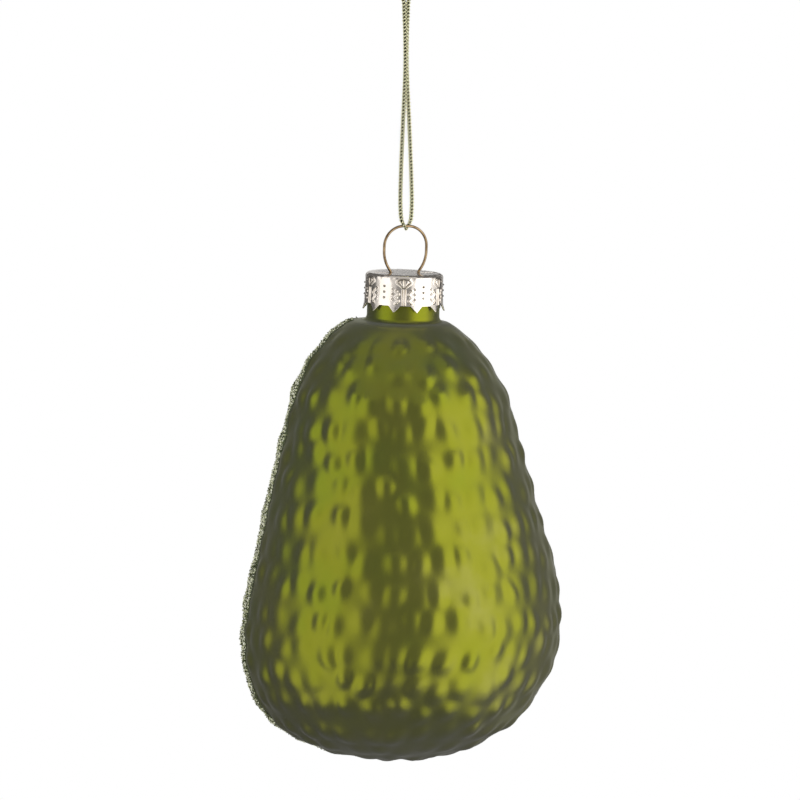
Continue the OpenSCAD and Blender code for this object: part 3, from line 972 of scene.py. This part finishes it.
# Glitter glued over the rim of the cut face
GRAINS, GRAIN_SIZE, GRAIN_T = 24000, 0.6, 0.16
GRAIN_SHARES, GRAIN_TILT, GRAIN_LOW, GLUE_T = (0.7, 1.3), 0.7, 0.1, 0.12
# Width over which the glitter thins out on the skin
GLITTER_SPILL = 1.0


def glue_patch(bm):
    """A copy of the outer faces that carry the glue, on both sides of the rim and clear of the neck."""
    patch = bm.copy()
    low_y = face_y - GLITTER_SIDE - GLITTER_SPILL
    bmesh.ops.bisect_plane(patch, geom=patch.verts[:] + patch.edges[:] + patch.faces[:], dist=ON_CUT,
                           plane_co=(0, low_y, 0), plane_no=(0, 1, 0), clear_inner=True)
    mark = patch.verts.layers.int["inner"]
    glue = patch.faces.layers.int["glue"]
    bare = []
    for face in patch.faces:
        centre = face.calc_center_median()
        inside = any(v[mark] for v in face.verts)
        by_neck = math.hypot(centre.x, centre.y) < foot_r + GLITTER_GAP and centre.z > foot_z - SHOULDER_DROP
        if inside or by_neck or (face.material_index != SKIN and not face[glue]):
            bare.append(face)
    bmesh.ops.delete(patch, geom=bare, context="FACES")
    patch.normal_update()
    return patch


def strew(faces, count):
    """Little flat-bottomed grains of glitter strewn over faces, with a tint for each."""
    draw = random.Random(5)
    grain = bmesh.new()
    bmesh.ops.create_cone(grain, cap_ends=True, segments=3, radius1=0.5, radius2=0.0, depth=1.0)
    corners = [v.co.copy() for v in grain.verts]
    sides = [[v.index for v in f.verts] for f in grain.faces]
    grain.free()
    points, polygons, tints = [], [], []
    for face in draw.choices(faces, weights=[f.calc_area() for f in faces], k=count):
        shares = [draw.expovariate(1.0) for _ in face.verts]
        spot = sum((s * v.co for s, v in zip(shares, face.verts)), Vector()) / sum(shares)
        if draw.random() > smoothstep(0, GLITTER_SPILL, spot.y - face_y + GLITTER_SIDE + GLITTER_SPILL):
            continue
        tilt = face.normal + GRAIN_TILT * Vector((draw.gauss(0, 1), draw.gauss(0, 1), draw.gauss(0, 1)))
        turn = tilt.to_track_quat("Z", "Y").to_matrix() @ Matrix.Rotation(draw.uniform(0, math.tau), 3, "Z")
        size = GRAIN_SIZE * draw.uniform(*GRAIN_SHARES)
        shape = turn @ Matrix.Diagonal((size, size, GRAIN_T))
        centre = spot + face.normal * draw.uniform(GRAIN_LOW, GLITTER_T)
        first = len(points)
        points.extend(centre + shape @ corner for corner in corners)
        polygons.extend([first + i for i in side] for side in sides)
        tints.extend([draw.random()] * len(sides))
    mesh = bpy.data.meshes.new("glitter_grains")
    mesh.from_pydata(points, [], polygons)
    mesh.attributes.new("tint", "FLOAT", "FACE").data.foreach_set("value", tints)
    return mesh


def thicken(bm, thickness):
    """Gives an open patch a closed body, along its vertex normals."""
    grown = bmesh.ops.extrude_face_region(bm, geom=bm.faces[:], use_keep_orig=True)["geom"]
    for v in [g for g in grown if isinstance(g, bmesh.types.BMVert)]:
        v.co += v.normal * thickness
    bmesh.ops.recalc_face_normals(bm, faces=bm.faces)
    settle_order(bm)


def glitter():
    def varying(place):
        tint = attribute_at(place, "tint")
        return {
            "Base Color": tint.ramp(
                (0.0, (0.02, 0.025, 0.01)), (0.3, (0.20, 0.24, 0.08)),
                (0.42, (0.86, 0.88, 0.58)), (1.0, (1.0, 1.0, 0.88))),
            "Roughness": 0.25 + 0.2 * tint,
        }
    return finish_material("glitter", {"Metallic": 0.3}, varying)


def green_glue():
    def varying(place):
        grain = noise_at(place, 0.5, detail=3.0)
        return {
            "Base Color": grain.ramp((0.3, (0.04, 0.05, 0.02)), (0.7, (0.12, 0.14, 0.065))),
            "Roughness": 0.35 + 0.3 * grain,
            "Normal": grain.bump(0.6, 0.0002),
        }
    return finish_material("green_glue", {}, varying)


glass = make_glass()
patch = glue_patch(glass)
add_piece("glitter_grains", strew(patch.faces[:], GRAINS), "glass", [glitter()],
          smooth=False)
thicken(patch, GLUE_T)
add_piece("glitter_glue", as_mesh("glitter_glue", patch), "glass", [green_glue()],
          ["glitter_rim"])
add_piece("glass_shell", as_mesh("glass_shell", glass), "glass",
          [skin_lacquer(), flesh_lacquer(), pit_lacquer()], ["glass_body"])


# Studio, in metres
FLOOR_Z, FLOOR_SIZE = -3.0, 12.0
CARD_SIZE, CARD_AWAY = 0.42, 1.0
WORLD_COLOUR = (0.095, 0.095, 0.095, 1)


def around(azimuth, elevation, distance):
    """A place round the ornament; azimuth 0 is towards the camera and 90 to the picture's right."""
    a, e = math.radians(azimuth), math.radians(elevation)
    level = Vector((back.x, back.y, 0)).normalized()
    return middle + distance * (math.cos(e) * (math.cos(a) * level + math.sin(a) * right)
                                + Vector((0, 0, math.sin(e))))


def soft_box(name, azimuth, elevation, distance, width, height, radiance, mirrored=True):
    """A lamp with a soft rectangle of light, turned to the ornament; it may be left out of reflections."""
    data = bpy.data.lights.new(name, "AREA")
    data.shape = "RECTANGLE"
    data.size, data.size_y = width, height
    data.energy = radiance * math.pi * width * height
    lamp = bpy.data.objects.new(name, data)
    lamp.location = around(azimuth, elevation, distance)
    lamp.rotation_euler = (lamp.location - middle).to_track_quat("Z", "Y").to_euler()
    lamp.visible_camera = False
    lamp.visible_glossy = mirrored
    bpy.context.scene.collection.objects.link(lamp)


def white_card():
    """White to the camera and in reflections, a plain white card to other light, clear from behind."""
    material = bpy.data.materials.new("white_card")
    material.use_nodes = True
    tree = material.node_tree
    shader = tree.nodes["Principled BSDF"]
    shader.inputs["Base Color"].default_value = (0.8, 0.8, 0.8, 1)
    shader.inputs["Roughness"].default_value = 0.9
    light_path = tree.nodes.new("ShaderNodeLightPath")
    seen = [Socket(tree, light_path.outputs[name])
            for name in ("Is Camera Ray", "Is Glossy Ray", "Is Transmission Ray")]
    seen_any = seen[0] + seen[1] + seen[2]
    shown = seen_any.math("MINIMUM", seen_any, 1.0)
    plain = Socket(tree, shader.outputs["BSDF"])
    glow = plain.node("ShaderNodeEmission", {}, {"Color": (1, 1, 1, 1), "Strength": 1.0})
    front = plain.node("ShaderNodeMixShader", {}, {0: shown, 1: plain, 2: glow})
    behind = plain.node("ShaderNodeNewGeometry", out="Backfacing")
    clear = plain.node("ShaderNodeBsdfTransparent")
    whole = plain.node("ShaderNodeMixShader", {}, {0: behind, 1: front, 2: clear})
    tree.links.new(whole.output, tree.nodes["Material Output"].inputs["Surface"])
    return material


def pale_floor():
    def varying(place):
        cloud = noise_at(place, 900.0, detail=2.0)
        return {"Base Color": cloud.ramp((0.3, (0.54, 0.54, 0.53)), (0.7, (0.58, 0.58, 0.57)))}
    return finish_material("pale_floor", {"Roughness": 0.85}, varying)


def stage_plane(name, size, place, material):
    bm = bmesh.new()
    bmesh.ops.create_grid(bm, x_segments=1, y_segments=1, size=size / 2)
    plane = bpy.data.objects.new(name, as_mesh(name, bm))
    plane.data.materials.append(material)
    plane.data.transform(place)
    bpy.context.scene.collection.objects.link(plane)


def make_studio():
    """Lamps by azimuth, elevation, distance, width, height and radiance, then floor, backdrop and world."""
    soft_box("left_box", -57, -9, 0.7, 0.95, 1.7, 0.52)
    soft_box("left_core", -58, -6, 0.7, 0.5, 1.3, 0.73)
    soft_box("right_box", 66, -9, 0.7, 1.3, 1.7, 0.74)
    soft_box("right_core", 60, -3, 0.7, 0.7, 1.3, 1.0)
    soft_box("front_fill", 5, 0, 1.0, 0.9, 1.2, 0.15)
    soft_box("front_soft", 8, 15, 1.0, 1.3, 1.3, 0.8, mirrored=False)
    soft_box("top_box", -8, 66, 0.8, 1.05, 0.95, 0.42)
    soft_box("right_rim", 154, 0, 1.0, 0.2, 1.4, 0.36)
    soft_box("face_box", -168, 8, 1.2, 0.5, 0.7, 0.45)
    soft_box("face_fill", -158, 20, 0.9, 1.4, 1.4, 1.5, mirrored=False)
    stage_plane("floor", FLOOR_SIZE, Matrix.Translation((0, 0, FLOOR_Z)), pale_floor())
    facing = back.to_track_quat("Z", "Y").to_matrix().to_4x4()
    card_place = Matrix.Translation(around(180, 0, CARD_AWAY)) @ facing
    stage_plane("backdrop", CARD_SIZE, card_place, white_card())
    world = bpy.data.worlds.new("studio")
    bpy.context.scene.world = world
    world.use_nodes = True
    world.node_tree.nodes["Background"].inputs["Color"].default_value = WORLD_COLOUR


make_studio()
bpy.context.scene.view_settings.view_transform = "Standard"
